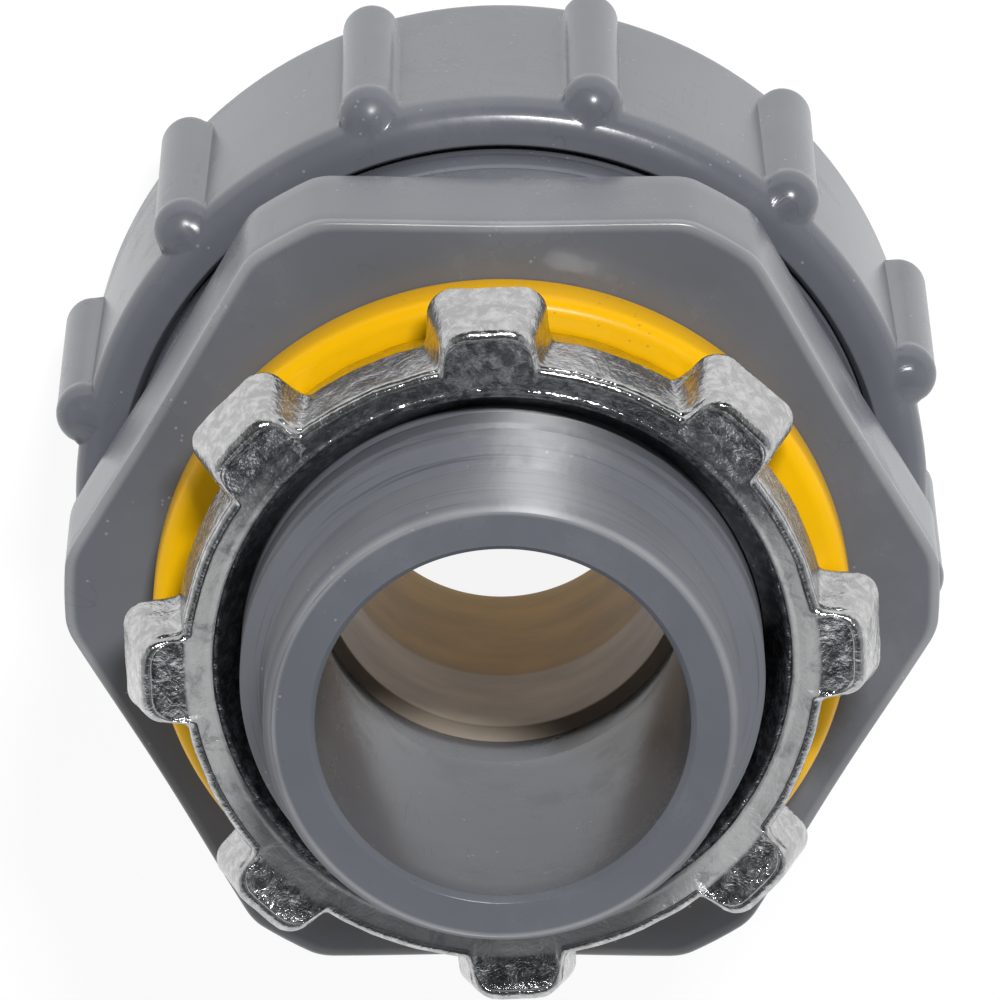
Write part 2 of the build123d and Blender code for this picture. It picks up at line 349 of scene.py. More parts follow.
def scratch_group():
    """Handling marks: thin straight scratches in three directions, dust specks and soft scuffs.

    A scratch is where noise, stretched sixteenfold along one direction, passes a narrow band,
    and a second, coarse noise keeps it to short stretches.
    """
    tree, given, out = group_of(
        "Handling marks",
        [("Point", "NodeSocketVector", None), ("Scratch width", "NodeSocketFloat", 0.012),
         ("Scuff scale", "NodeSocketFloat", 180.0)],
        [("Scratches", "NodeSocketFloat"), ("Specks", "NodeSocketFloat"), ("Scuffs", "NodeSocketFloat")])
    point = given["Point"]
    lines = None
    # Each direction is a turn of the point and a scale of its noise
    for turn, scale in (((0.3, 0.2, 0.5), 1.2), ((1.1, 0.7, 2.1), 1.8), ((0.5, 1.9, 1.2), 2.8)):
        along = stretched(tree, point, (SCRATCH_ACROSS, SCRATCH_ACROSS, SCRATCH_ALONG), turn)
        line = noise(tree, along, scale, 0.0)
        off_line = maths(tree, "ABSOLUTE", maths(tree, "SUBTRACT", line, 0.5))
        thin = maths(tree, "LESS_THAN", off_line, given["Scratch width"])
        turned = stretched(tree, point, (1.0, 1.0, 1.0), turn)
        where = ramp(tree, noise(tree, turned, SCRATCH_STRETCHES, 1.0), 0.64, 0.70)
        one = times(tree, thin, where)
        lines = one if lines is None else maths(tree, "MAXIMUM", lines, one)
    tree.links.new(lines, out["Scratches"])
    cells = {"Vector": point, "Scale": SPECK_CELLS, "Randomness": 1.0}
    speck = node_of(tree, "ShaderNodeTexVoronoi", cells)
    rare = maths(tree, "GREATER_THAN", noise(tree, point, SPECK_CLUSTERS, 0.0), 0.66)
    dot = maths(tree, "LESS_THAN", speck.outputs["Distance"], SPECK_RADIUS)
    tree.links.new(times(tree, dot, rare), out["Specks"])
    scuffs = noise(tree, point, given["Scuff scale"], 5.0, 0.65)
    tree.links.new(ramp(tree, scuffs, 0.45, 0.75), out["Scuffs"])
    return tree


def grain_group():
    """Fine uneven skin of a moulding or casting, as a height and a broad patchiness."""
    tree, given, out = group_of(
        "Skin grain",
        [("Point", "NodeSocketVector", None), ("Scale", "NodeSocketFloat", 1500.0)],
        [("Height", "NodeSocketFloat"), ("Patches", "NodeSocketFloat")])
    tree.links.new(noise(tree, given["Point"], given["Scale"], 3.0, 0.6), out["Height"])
    tree.links.new(noise(tree, given["Point"], PATCH_CELLS, 3.0, 0.55), out["Patches"])
    return tree


def lathe_group():
    """Turning lines: fine rings round the axis, as a height, and the deepest of them as a mask.

    The rings are noise along the axis, hardly changing round the turn.
    """
    tree, given, out = group_of(
        "Turning lines",
        [("Point", "NodeSocketVector", None), ("Closeness", "NodeSocketFloat", 6500.0)],
        [("Rings", "NodeSocketFloat"), ("Lines", "NodeSocketFloat")])
    scales = {"X": RINGS_ROUND, "Y": RINGS_ROUND, "Z": given["Closeness"]}
    scale = node_of(tree, "ShaderNodeCombineXYZ", scales).outputs[0]
    inputs = {0: given["Point"], 1: scale}
    point = node_of(tree, "ShaderNodeVectorMath", inputs, operation="MULTIPLY").outputs[0]
    rings = noise(tree, point, 1.0, 3.0, 0.7)
    tree.links.new(rings, out["Rings"])
    tree.links.new(ramp(tree, rings, 0.55, 0.66), out["Lines"])
    return tree


def effect(tree, name, inputs):
    """One use of a shared shader group, with its own values."""
    makers = {"Handling marks": scratch_group, "Skin grain": grain_group, "Turning lines": lathe_group}
    group = bpy.data.node_groups.get(name) or makers[name]()
    return node_of(tree, "ShaderNodeGroup", inputs, node_tree=group).outputs


def new_material(name, roughness, **sockets):
    """Material with a Principled shader, its node tree, shader and Object coordinates."""
    material = bpy.data.materials.new(name)
    material.use_nodes = True
    tree = material.node_tree
    shader = tree.nodes["Principled BSDF"]
    shader.inputs["Roughness"].default_value = roughness
    for key, value in sockets.items():
        shader.inputs[key.replace("_", " ")].default_value = value
    point = node_of(tree, "ShaderNodeTexCoord").outputs["Object"]
    return material, tree, shader, point


def four(rgb):
    """Colour with full alpha."""
    return (*rgb, 1.0)


def bump(tree, shader, height, distance):
    """Bump from a height, into the shader's Normal."""
    inputs = {"Height": height, "Distance": distance, "Strength": 1.0}
    tree.links.new(node_of(tree, "ShaderNodeBump", inputs).outputs[0], shader.inputs["Normal"])


def grey_plastic(turned=False):
    """Satin grey moulding: faint mottling, pale worn edges and specks, and scratches where it isn't turned.

    The turned finish is for the hub. Its gloss spreads along the axis, as it does across fine rings, and
    the deepest rings are darkened with painted shade, as dark lines.
    """
    name = "turned grey plastic" if turned else "moulded grey plastic"
    known = bpy.data.materials.get(name)
    if known:
        return known
    ring_shade, scratch_line, dust = (0.04, 0.04, 0.05), (0.06, 0.06, 0.07), (0.5, 0.5, 0.5)
    colours = bpy.context.scene.connector_colours
    if turned:
        material, tree, shader, point = new_material(
            name, 0.6, IOR=1.75, Specular_IOR_Level=0.9, Anisotropic=1.0, Anisotropic_Rotation=0.25)
    else:
        material, tree, shader, point = new_material(name, 0.3, IOR=1.5, Specular_IOR_Level=0.5)
    marks = effect(tree, "Handling marks", {"Point": point})
    skin = effect(tree, "Skin grain", {"Point": point})
    edge = node_of(tree, "ShaderNodeAttribute", attribute_name="edge").outputs["Fac"]
    dark = tuple(0.88 * value for value in colours.grey)
    base = mixed(tree, ramp(tree, skin["Patches"], 0.3, 0.7), four(dark), four(colours.grey))
    patches = ramp(tree, skin["Patches"], 0.35, 0.6, 0.45, 0.95)
    base = mixed(tree, times(tree, ramp(tree, edge, 0.75, 1.0), patches), base, four(colours.grey_light))
    base = mixed(tree, times(tree, marks["Scuffs"], 0.12), base, four(colours.grey_light))
    if turned:
        smoothest, roughest = 0.5, 0.6
        lathe = effect(tree, "Turning lines", {"Point": point})
        # Painted shade: the deepest turning rings are darkened to dark lines
        base = mixed(tree, times(tree, lathe["Lines"], 0.5), base, four(ring_shade))
        height = plus(tree, skin["Height"], times(tree, lathe["Rings"], 4.0))
    else:
        smoothest, roughest = 0.24, 0.36
        base = mixed(tree, times(tree, marks["Scratches"], 0.18), base, four(scratch_line))
        height = maths(tree, "SUBTRACT", skin["Height"], times(tree, marks["Scratches"], 0.2))
    base = mixed(tree, times(tree, marks["Specks"], 0.3), base, four(dust))
    tree.links.new(base, shader.inputs["Base Color"])
    roughness = ramp(tree, marks["Scuffs"], 0.0, 1.0, smoothest, roughest)
    tree.links.new(roughness, shader.inputs["Roughness"])
    bump(tree, shader, height, 0.008 * MM)
    return material


def yellow_plastic():
    """Semi-gloss yellow, deeper in its patches. A faint glow stands for light that scatters inside it."""
    colours = bpy.context.scene.connector_colours
    speck, glow = (0.3, 0.2, 0.05), (1, 0.56, 0)
    material, tree, shader, point = new_material("yellow_plastic", 0.36, IOR=1.48, Specular_IOR_Level=0.2)
    marks = effect(tree, "Handling marks", {"Point": point})
    skin = effect(tree, "Skin grain", {"Point": point})
    deep = (colours.yellow[0] * 0.93, colours.yellow[1] * 0.88, colours.yellow[2], 1)
    base = mixed(tree, ramp(tree, skin["Patches"], 0.3, 0.7), deep, four(colours.yellow))
    base = mixed(tree, times(tree, marks["Specks"], 0.5), base, four(speck))
    tree.links.new(base, shader.inputs["Base Color"])
    shader.inputs["Emission Color"].default_value = four(glow)
    shader.inputs["Emission Strength"].default_value = 0.05
    tree.links.new(ramp(tree, marks["Scuffs"], 0.0, 1.0, 0.3, 0.42), shader.inputs["Roughness"])
    bump(tree, shader, skin["Height"], 0.01 * MM)
    return material


def cast_zinc():
    """Die-cast skin: bright, smoother outer walls, and lug faces of dark ground with bright grain.

    The edge attribute is one on the outer walls, about a half on the ring's front and nought on the
    lugs' faces.
    """
    colours = bpy.context.scene.connector_colours
    painted_light_grey = (0.42, 0.42, 0.42)
    skin_cells, dent_cells, mottle_cells = 7000.0, 900.0, 1900.0
    material, tree, shader, point = new_material("cast_zinc", 0.3, Metallic=1.0)
    skin = effect(tree, "Skin grain", {"Point": point, "Scale": skin_cells})
    wall = node_of(tree, "ShaderNodeAttribute", attribute_name="edge").outputs["Fac"]
    dents = noise(tree, point, dent_cells, 4.0, 0.65, 0.4)
    bright = ramp(tree, noise(tree, point, mottle_cells, 5.0, 0.7, 0.6), 0.4, 0.66)
    face = mixed(tree, bright, four(colours.zinc_dark), four(colours.zinc))
    pale = tuple(0.6 * value for value in colours.zinc)
    clean = tuple(0.88 * value for value in colours.zinc)
    outer = mixed(tree, bright, four(pale), four(clean))
    # Painted light: the ring's front is dull, matt and pale grey as if lit, and stays bright metal only on
    # its side towards -Y
    across = node_of(tree, "ShaderNodeSeparateXYZ", {0: point}).outputs["Y"]
    dull_painted_light = times(tree, ramp(tree, wall, 0.3, 0.5), ramp(tree, wall, 0.6, 0.8, 1.0, 0.0))
    # The painted light fades out towards -Y, where the front keeps the dark metal
    dull_painted_light = times(tree, dull_painted_light, ramp(tree, across, -9 * MM, -4 * MM))
    dull_painted_light = times(tree, dull_painted_light, ramp(tree, dents, 0.35, 0.5, 0.55, 0.9))
    base = mixed(tree, dull_painted_light, mixed(tree, wall, face, outer), four(painted_light_grey))
    tree.links.new(base, shader.inputs["Base Color"])
    tree.links.new(maths(tree, "SUBTRACT", 1.0, dull_painted_light), shader.inputs["Metallic"])
    rough = plus(tree, ramp(tree, skin["Patches"], 0.4, 0.6, 0.06, 0.16), times(tree, dents, 0.1))
    tree.links.new(plus(tree, rough, times(tree, dull_painted_light, 0.25)), shader.inputs["Roughness"])
    height = plus(tree, times(tree, dents, 2.0), times(tree, skin["Height"], 0.35))
    relief = ramp(tree, wall, 0.0, 1.0, 1.0, 0.5)
    bump(tree, shader, times(tree, height, relief), 0.1 * MM)
    return material


def tan_plastic():
    """Tan ferrule with soft cloudy streaks: painted shade at its lip, creamy in its funnel, browner in its
    stem.
    """
    colours = bpy.context.scene.connector_colours
    lip_shade, dark_streak = (0.1, 0.08, 0.07), (0.05, 0.03, 0.01)
    material, tree, shader, point = new_material("tan_plastic", 0.4, IOR=1.45, Specular_IOR_Level=0.25)
    streaks = noise(tree, stretched(tree, point, (1.0, 1.0, 3.0)), 160.0, 3.0, 0.6)
    level = node_of(tree, "ShaderNodeSeparateXYZ", {0: point}).outputs["Z"]
    funnel = ramp(tree, level, FERRULE_HIGH.z - 5.3 * MM, FERRULE_HIGH.z - 5.0 * MM)
    tone = mixed(tree, funnel, four(colours.tan), four(colours.cream))
    # Painted shade: the lip, where the ferrule meets the body's shoulder, is darkened halfway to near black
    lip = ramp(tree, level, FERRULE_HIGH.z - 0.6 * MM, FERRULE_HIGH.z - 0.4 * MM)
    tone = mixed(tree, times(tree, lip, 0.5), tone, four(lip_shade))
    dark = mixed(tree, 0.3, tone, four(dark_streak))
    base = mixed(tree, ramp(tree, streaks, 0.3, 0.7), dark, tone)
    tree.links.new(base, shader.inputs["Base Color"])
    skin = effect(tree, "Skin grain", {"Point": point})
    bump(tree, shader, skin["Height"], 0.006 * MM)
    return material


class CONNECTOR_OT_body(bpy.types.Operator):
    """Moulded body: hub with its thread, hexagonal flange and threaded spigot"""
    bl_idname = "connector.body"
    bl_label = "Body"

    def execute(self, context):
        s = context.scene.connector_body
        hub_end = BODY_HIGH.z
        spigot_end = BODY_LOW.z
        flange_front = hub_end - s.hub_length
        flange_back = flange_front - s.flange_thickness
        shoulder = flange_front - s.shoulder_depth
        cone = hub_end - s.lead_length
        bore_bevel, lead_bevel, lead_slope = 0.25 * MM, 0.36 * MM, 0.55 * MM
        chamfer, mouth_depth, relief_step = 0.8 * MM, 4.3 * MM, 0.15 * MM
        fine, small, wide = 0.06 * MM, 0.1 * MM, 0.3 * MM
        # Corners of (radius, height, rounding, flange, edge), from the bore's rim down the outside
        # and up the inside
        outline = rounded([
            (s.bore + bore_bevel, hub_end, fine, 0, 0.5),
            (s.lead - lead_bevel, hub_end, small, 0, 1),
            (s.lead, hub_end - lead_slope, small, 0, 0.6),
            (s.lead, cone, 0.12 * MM, 0, 0),
            (s.thread, cone - s.thread_start, small, 0, 0.6),
            (s.thread, flange_front, wide, 0, 0),
            (s.flange_flat, flange_front, 0.2 * MM, 1, 1),
            (s.flange_flat, flange_back, 0.2 * MM, 1, 0.6),
            (s.spigot + 0.1 * MM, flange_back, 0.05 * MM, 0, 0),
            (s.spigot, flange_back - 0.3 * MM, small, 0, 0),
            (s.spigot, spigot_end + chamfer, small, 0, 0),
            (s.spigot - chamfer, spigot_end, small, 0, 0.5),
            (s.mouth, spigot_end, small, 0, 0.5),
            (s.socket, spigot_end + mouth_depth, wide, 0, 0),
            (s.socket, shoulder, small, 0, 0),
            (s.relief, shoulder, small, 0, 0),
            (s.relief, flange_front - relief_step, fine, 0, 0),
            (s.bore, flange_front - relief_step, fine, 0, 0.3),
            (s.bore, hub_end - bore_bevel, fine, 0, 0.3),
        ])
        near, thread_rows, plain_rows = 0.01 * MM, 0.12 * MM, 1.2 * MM
        threaded = (np.abs(outline[:, 0] - s.thread) < near) | (np.abs(outline[:, 0] - s.spigot) < near)
        outline = filled(outline, np.where(threaded, thread_rows, plain_rows))
        radius, height, flange, edge = (column[:, None] for column in outline.T)
        # Columns stand every two degrees and gather at the flange's twelve upright edges
        turn = np.degrees(np.arccos(s.flange_flat / s.flange_corner))
        upright = np.add.outer(30 + 60 * np.arange(6), [-turn, turn])
        close = np.add.outer(upright.ravel(), [-1.5, -0.9, -0.45, 0, 0.45, 0.9, 1.5]).ravel() % 360
        degrees = np.unique(np.round(np.concatenate([np.arange(0, 360, 2), close]), 3))
        angle = np.radians(degrees)[None, :]
        off_flat = (angle % np.radians(60)) - np.radians(30)
        sink = s.flange_sink * np.cos(np.clip(off_flat / np.radians(25), -1, 1) * np.pi / 2) ** 2
        flat = s.flange_flat / np.cos(off_flat) - sink
        hexagon = smooth_min(flat, s.flange_corner, 0.25 * MM)
        radius = radius + flange * (hexagon - s.flange_flat)
        # The hub's thread fades in behind its starting cone and out at the flange
        near = 0.02 * MM
        in_hub = (np.abs(radius - s.thread) < near) & (height > flange_front)
        hub_fade = fade(height, flange_front + 0.5 * MM, flange_front + 1.5 * MM)
        cut = thread_cut(height - 0.35 * MM, angle, s.thread_pitch, s.thread_depth, 0.32)
        radius = radius - np.where(in_hub, cut * hub_fade, 0)
        in_spigot = (np.abs(radius - s.spigot) < near) & (height < flange_back - 2.4 * MM)
        cut = thread_cut(height, angle, s.spigot_pitch, s.spigot_depth, 0.6)
        ends = fade(height, spigot_end + chamfer, spigot_end + 2 * chamfer)
        ends = ends * (1 - fade(height, flange_back - 4.4 * MM, flange_back - 3.8 * MM))
        radius = radius - np.where(in_spigot, cut * ends, 0)
        # A fine line runs round the plain stretch between flange and thread
        line_at, line_width, line_depth = 2.35 * MM, 0.1 * MM, 0.12 * MM
        line = np.exp(-((height - flange_back + line_at) / line_width) ** 2)
        radius = radius - line_depth * line * (np.abs(radius - s.spigot) < near)
        piece = grid_piece("connector_body", radius, angle, height, edge, grey_plastic())
        # The hub's outside has the turned finish
        piece.data.materials.append(grey_plastic(turned=True))
        centres = np.empty(3 * len(piece.data.polygons), np.float32)
        piece.data.polygons.foreach_get("center", centres)
        x, y, z = centres.reshape(-1, 3).T
        turned = (z > flange_front + 0.3 * MM) & (np.hypot(x, y) > s.lead - 0.4 * MM)
        piece.data.polygons.foreach_set("material_index", turned.astype(np.int32))
        dressed(piece, "body", "body")
        return {"FINISHED"}


class CONNECTOR_OT_gland_nut(bpy.types.Operator):
    """Ribbed gland nut with a ball at the front of each rib and a thread inside"""
    bl_idname = "connector.gland_nut"
    bl_label = "Gland nut"

    def execute(self, context):
        s = context.scene.connector_nut
        body = context.scene.connector_body
        top = NUT_HIGH.z
        # Corners of (radius, height, rounding, outside, edge), from the mouth over the rim and back up
        # the inside
        outline = rounded([
            (s.bore + 0.28 * MM, top, 0.12 * MM, 0, 0.6),
            (s.front, top, s.rim_round, 1, 0.35),
            (s.back, s.bevel, 1.2 * MM, 1, 0.2),
            (s.back - s.bevel, 0, 0.5 * MM, 0, 0.3),
            (body.socket, 0, 1.0 * MM, 0, 0.3),
            (body.socket, s.end_wall, 0.15 * MM, 0, 0),
            (s.bore, s.end_wall, 0.2 * MM, 0, 0),
            (s.bore, top - 0.6 * MM, 0.15 * MM, 0, 0),
        ], steps=9)
        inside = np.abs(outline[:, 0] - s.bore) < 0.01 * MM
        outline = filled(outline, np.where(inside, 0.15 * MM, 0.5 * MM))
        # Between the bevel and the front, rows gather where a ball or a rib's end turns away
        ball_height = top - s.ball_setback
        lean = np.sin(np.linspace(-np.pi / 2, np.pi / 2, 25))
        rows = np.unique(np.round(np.concatenate([
            ball_height + s.ball_radius * lean, s.rib_end + s.rib_radius * lean[:13],
            np.arange(s.rib_end + 0.35 * MM, ball_height - s.ball_radius, 0.5 * MM)]), 6))
        level = outline[:, 1]
        wall = (outline[:, 2] > 0) & (level >= rows[0] - 0.3 * MM) & (level <= rows[-1] + 0.01 * MM)
        first = np.argmax(wall)
        side = outline[outline[:, 2] > 0][::-1]
        new = np.array([np.interp(rows, side[:, 1], side[:, k]) for k in range(4)]).T[::-1]
        new[:, 1:3] = np.stack([rows[::-1], np.ones(len(rows))], axis=1)
        outline = np.vstack([outline[:first], new, outline[first:][~wall[first:]]])
        radius, height, outside, edge = (column[:, None] for column in outline.T)
        # Columns gather at each rib
        period = 360 / s.rib_count
        half_way = period / 2
        near = np.concatenate([
            np.linspace(-5, 5, 27), np.linspace(-half_way, -6.5, 5), np.linspace(6.5, half_way, 5)[:-1]])
        angle = np.add.outer(s.rib_angle + period * np.arange(s.rib_count), np.sort(near)).ravel()
        angle = np.radians(angle)[None, :]
        off_rib = from_nearest(angle, s.rib_angle, period)
        sleeve = s.back + (s.front - s.back) * np.clip(height / top, 0, 1)
        aside = sleeve * np.sin(off_rib)
        # A rib is a half-round bar with a round end, and a ball stands at its front
        past = np.clip(s.rib_end - height, 0, None) + np.clip(height - ball_height, 0, None)
        bar_room = s.rib_radius ** 2 - aside ** 2 - past ** 2
        bar_top = s.front + s.rib_proud - s.rib_radius + np.sqrt(np.clip(bar_room, 0, None))
        bar_out = np.where(bar_room > 0, bar_top, 0)
        ball_room = s.ball_radius ** 2 - aside ** 2 - (height - ball_height) ** 2
        ball_top = s.front + s.ball_proud - s.ball_radius + np.sqrt(np.clip(ball_room, 0, None))
        ball_out = np.where(ball_room > 0, ball_top, 0)
        raised = smooth_max(np.maximum(bar_out, ball_out), radius, 0.25 * MM)
        edge = np.clip(edge + 0.15 * fade(raised - sleeve, 0.7 * MM, 0.9 * MM) * outside, 0, 1)
        radius = np.where(outside * (radius > s.bore + 0.6 * MM), raised, radius)
        # The inner thread is cut outwards from its crests, so that it clears the spigot at every turn
        inside = np.abs(radius - s.bore) < 0.01 * MM
        cut = thread_cut(height + 1.0 * MM, angle, body.spigot_pitch, body.spigot_depth, 0.6)
        ends = fade(height, s.end_wall + 0.6 * MM, s.end_wall + 1.2 * MM)
        ends = ends * (1 - fade(height, top - 1.6 * MM, top - 0.9 * MM))
        radius = radius + np.where(inside, cut * ends, 0)
        dressed(grid_piece("connector_gland_nut", radius, angle, height, edge, grey_plastic()),
                "gland_nut", "nut")
        return {"FINISHED"}


class CONNECTOR_OT_sealing_ring(bpy.types.Operator):
    """Yellow sealing ring, hanging off centre on the hub's thread"""
    bl_idname = "connector.sealing_ring"
    bl_label = "Sealing ring"

    def execute(self, context):
        middle = (RING_LOW + RING_HIGH) / 2
        outer = (RING_HIGH.x - RING_LOW.x) / 2
        inner = outer - 3.2 * MM
        outline = filled(rounded([
            (inner, RING_HIGH.z, 0.25 * MM, 0.4),
            (outer, RING_HIGH.z, 0.7 * MM, 0.4),
            (outer, RING_LOW.z, 0.15 * MM, 0.3),
            (inner, RING_LOW.z, 0.15 * MM, 0),
        ], steps=8), 0.8 * MM)
        radius, angle, height, edge = round_grid(outline)
        # The soft ring's face swells and sinks a little round the turn
        depth = 0.03 * MM
        swell = depth * np.sin(3 * angle + 0.7) * (height > middle.z)
        height = height + swell - depth * (height > middle.z)
        piece = grid_piece("connector_sealing_ring", radius, angle, height, edge, yellow_plastic(),
                           shift=(middle.x, middle.y))
        dressed(piece, "sealing_ring", "ring")
        return {"FINISHED"}


def cast_waves(x, y, z):
    """Uneven height of a cast skin, from a sum of crossed waves 1.2 to 2.8 mm long."""
    waves = (
        (1.9, 1.1, 0.4, 0.3), (-1.3, 2.3, 0.9, 1.7), (3.1, -0.8, 1.9, 4.0), (2.2, 3.4, -1.5, 2.2),
        (-4.1, 1.6, 2.7, 5.1))
    total = sum(np.sin((a * x + b * y + c * z) / MM + d) for a, b, c, d in waves)
    return total / len(waves)


class CONNECTOR_OT_locknut(bpy.types.Operator):
    """Cast zinc locknut with eight drafted lugs and a threaded bore"""
    bl_idname = "connector.locknut"
    bl_label = "Locknut"

    def execute(self, context):
        s = context.scene.connector_locknut
        body = context.scene.connector_body
        back, front = LOCKNUT_LOW.z, LOCKNUT_HIGH.z
        parting = back + s.parting
        arc = np.linspace(0, np.pi / 2, 6)
        heel_round = 0.25 * MM
        # Rows of (height, share of the way from the bore's side to the outline, distance inside it)
        bore = [(z, 0, 0) for z in np.linspace(back + 0.4 * MM, front - s.mouth_depth, 28)]
        lip = front - s.bowl
        mouth = [(lip - s.mouth_round * (1 - np.sin(a)), 0, 0) for a in arc]
        shares = np.concatenate([np.linspace(0.02, 0.4, 11), np.linspace(0.47, 0.94, 7)])
        face = [(front, w, s.edge) for w in shares]
        rim = [(front - s.edge * (1 - np.cos(a)), 1, s.edge * (1 - np.sin(a))) for a in arc]
        front_wall = [(z, 1, 0) for z in np.linspace(front - s.edge, parting + 0.1 * MM, 12)[1:]]
        back_wall = [(z, 1, 0) for z in np.linspace(parting - 0.1 * MM, back + heel_round, 8)[:-1]]
        heel = [(back + heel_round * (1 - np.cos(a)), 1, heel_round * (1 - np.sin(a))) for a in arc[::-1]]
        underside = [(back, w, heel_round) for w in (0.75, 0.5, 0.25, 0.0)]
        seam = [(parting, 1, 0)]
        rows = np.array(bore + mouth + face + rim + front_wall + seam + back_wall + heel + underside)
        height, part, inset = (column[:, None] for column in rows.T)
        opening = np.full(len(rows), s.bore)
        opening[len(bore):len(bore) + len(mouth)] = s.mouth + s.mouth_round * (1 - np.cos(arc))
        opening[len(bore) + len(mouth):] = s.mouth + s.mouth_round
        opening[-len(underside):] = s.bore + 0.4 * MM
        opening = opening[:, None]
        # Columns gather at the two sides of each lug
        period = 360 / s.lugs
        side = np.concatenate([np.linspace(-14, -4, 36), np.linspace(-2.5, 2.5, 4), np.linspace(4, 14, 36)])
        side = np.concatenate([side, np.linspace(15.5, period - 15.5, 6)])
        angle = np.radians(np.add.outer(s.lug_angle + period * np.arange(s.lugs), side).ravel())[None, :]
        off_lug = from_nearest(angle, s.lug_angle, period)
        # The outline draws in both ways from the parting line. A lug is a bar with rounded corners and
        # slightly spreading flanks, and a rounded maximum joins it to the ring
        to_front = np.clip((height - parting) / (front - parting), 0, 1)
        to_back = np.clip((parting - height) / (parting - back), 0, 1)
        ring = s.ring - s.front_draft * to_front - s.back_draft * to_back
        drawn = s.front_lug_draft * to_front + s.back_lug_draft * to_back
        reach = s.lug_reach - drawn
        spread = 0.05
        side_draft = 0.85
        half = s.lug_width / 2 - side_draft * drawn
        tip = reach / np.cos(off_lug)
        flank = (half + spread * reach) / (np.abs(np.sin(off_lug)) + spread * np.cos(off_lug))
        # The corner between tip and flank is an arc about a centre that both lines touch
        lean = np.hypot(1, spread)
        across = reach - s.lug_corner
        along = half + spread * s.lug_corner - lean * s.lug_corner
        toward = across * np.cos(off_lug) + along * np.abs(np.sin(off_lug))
        inside_arc = s.lug_corner ** 2 - across ** 2 - along ** 2 + toward ** 2
        arc_reach = toward + np.sqrt(np.maximum(inside_arc, 0))
        arc_end = np.arctan2(along + s.lug_corner / lean, across + s.lug_corner * spread / lean)
        on_arc = (np.abs(off_lug) > np.arctan2(along, reach)) & (np.abs(off_lug) < arc_end)
        lug = np.where(on_arc, arc_reach, np.minimum(tip, flank))
        outline = smooth_max(ring, lug, 1.0 * MM)
        radius = opening + part * (outline - inset - opening)
        # The front sinks from the lugs' tips to a burr round the mouth, and each lug is dished
        on_lug = fade(outline - ring, 0.3 * MM, 0.9 * MM)
        on_lug = on_lug * fade(radius, 12.0 * MM, 12.8 * MM) * (1 - fade(radius, 13.6 * MM, 14.3 * MM))
        on_front = (height > front - s.edge - 0.01 * MM) & (part > 0)
        stations = [s.mouth, s.ring - s.front_draft, s.lug_reach - s.front_lug_draft]
        bowl = np.interp(radius, stations, [s.bowl, s.bowl_edge, 0])
        burr_at, burr_width = 0.12 * MM, 0.11 * MM
        burr = s.burr * np.exp(-((radius - s.mouth - s.mouth_round - burr_at) / burr_width) ** 2)
        height = height - (s.dish * on_lug + bowl - burr) * on_front
        cut = thread_cut(height, angle, body.thread_pitch, 0.4 * MM, 0.5)
        in_bore = (part == 0) & (height > back + 0.5 * MM) & (height < front - s.mouth_depth - 0.1 * MM)
        radius = radius + np.where(in_bore, cut, 0)
        # The cast skin waves inwards only, so that nothing leaves the solid
        x, y = radius * np.cos(angle), radius * np.sin(angle)
        waves = s.grain * (1 + cast_waves(x, y, height))
        radius = radius - waves * (part == 1)
        height = height - waves * (part > 0) * (part < 1) * (height > parting)
        on_ring = (part > 0) * (1 - fade(radius, 12.5 * MM, 13.2 * MM))
        edge = np.where(part == 1, 1.0, 0.55 * on_ring)
        piece = grid_piece("connector_locknut", radius, angle, height, edge, cast_zinc())
        dressed(piece, "locknut", "locknut")
        return {"FINISHED"}


class CONNECTOR_OT_ferrule(bpy.types.Operator):
    """Tan ferrule: flange under the shoulder, funnel mouth and tapered stem"""
    bl_idname = "connector.ferrule"
    bl_label = "Ferrule"

    def execute(self, context):
        s = context.scene.connector_body
        top, tip = FERRULE_HIGH.z, FERRULE_LOW.z
        outer = (FERRULE_HIGH.x - FERRULE_LOW.x) / 2
        outline = filled(rounded([
            (s.bore, top - 0.4 * MM, 0.12 * MM, 0.3),
            (s.relief, top, 0.08 * MM, 0),
            (outer, top, 0.1 * MM, 0),
            (outer, top - 2.0 * MM, 0.15 * MM, 0.3),
            (7.85 * MM, top - 2.0 * MM, 0.3 * MM, 0),
            (7.3 * MM, tip + 0.3 * MM, 0.2 * MM, 0.3),
            (7.0 * MM, tip, 0.1 * MM, 0.3),
            (6.35 * MM, tip, 0.15 * MM, 0.5),
            (7.1 * MM, top - 5.1 * MM, 0.2 * MM, 0),
        ], steps=7), 0.6 * MM)
        piece = grid_piece("connector_ferrule", *round_grid(outline), tan_plastic())
        dressed(piece, "ferrule", "body")
        return {"FINISHED"}


class CONNECTOR_OT_compression_ring(bpy.types.Operator):
    """Wedge ring between the gland nut's end wall and the spigot's mouth"""
    bl_idname = "connector.compression_ring"
    bl_label = "Compression ring"

    def execute(self, context):
        outer = (WEDGE_HIGH.x - WEDGE_LOW.x) / 2
        inner = 10.8 * MM
        base, top = WEDGE_LOW.z, WEDGE_HIGH.z
        outline = filled(rounded([
            (inner, base, 0.3 * MM, 0),
            (outer, base, 0.2 * MM, 0.3),
            (outer, base + 3.1 * MM, 0.2 * MM, 0.3),
            (inner + 0.8 * MM, top, 0.15 * MM, 0.3),
            (inner, top, 0.15 * MM, 0),
        ], steps=6), 0.6 * MM)
        piece = grid_piece("connector_compression_ring", *round_grid(outline), grey_plastic())
        dressed(piece, "compression_ring", "wedge")
        return {"FINISHED"}


